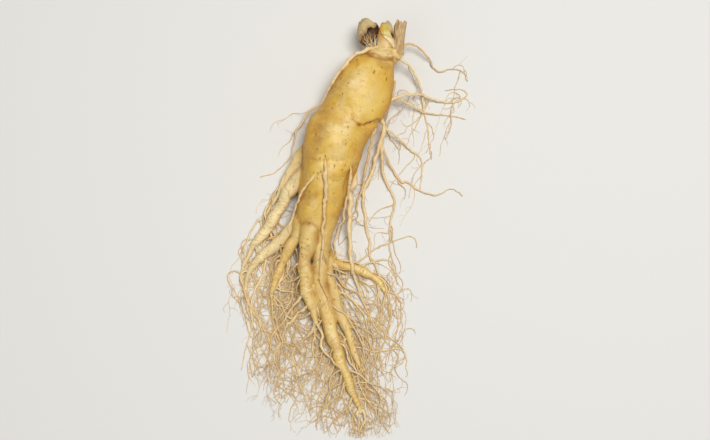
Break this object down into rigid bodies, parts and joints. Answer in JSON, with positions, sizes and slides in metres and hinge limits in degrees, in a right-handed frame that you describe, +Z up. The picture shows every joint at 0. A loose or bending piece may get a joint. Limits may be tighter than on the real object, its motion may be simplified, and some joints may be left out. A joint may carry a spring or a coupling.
{
  "type": "ginseng root",
  "caption": "Fresh ginseng root lying down: plump tapering body with forked legs, side arms, fine rootlets and a neck with a bud, dry stem base and papery scales.",
  "frame": {"origin": "middle of the root's footprint box, on the surface it lies on", "axes": "+Y from the legs towards the neck, along the root's length; +X to the right when looking down with the neck away; +Z up"},
  "size_m": [0.1324, 0.234, 0.0341],
  "materials": {
    "root_skin": "fresh, damp, thin yellow-cream skin, finely wrinkled",
    "bud_skin": "smooth pale waxy bud",
    "dry_stem": "dry fibrous stem base, greyish pink to tan",
    "dry_scale": "thin papery dry scale, beige with brown edges"
  },
  "bodies": {
    "root": {"ginseng_root": "root_skin", "winter_bud": "bud_skin", "stem_base": "dry_stem", "bud_scale_left": "dry_scale", "bud_scale_right": "dry_scale"}
  },
  "joints": []
}
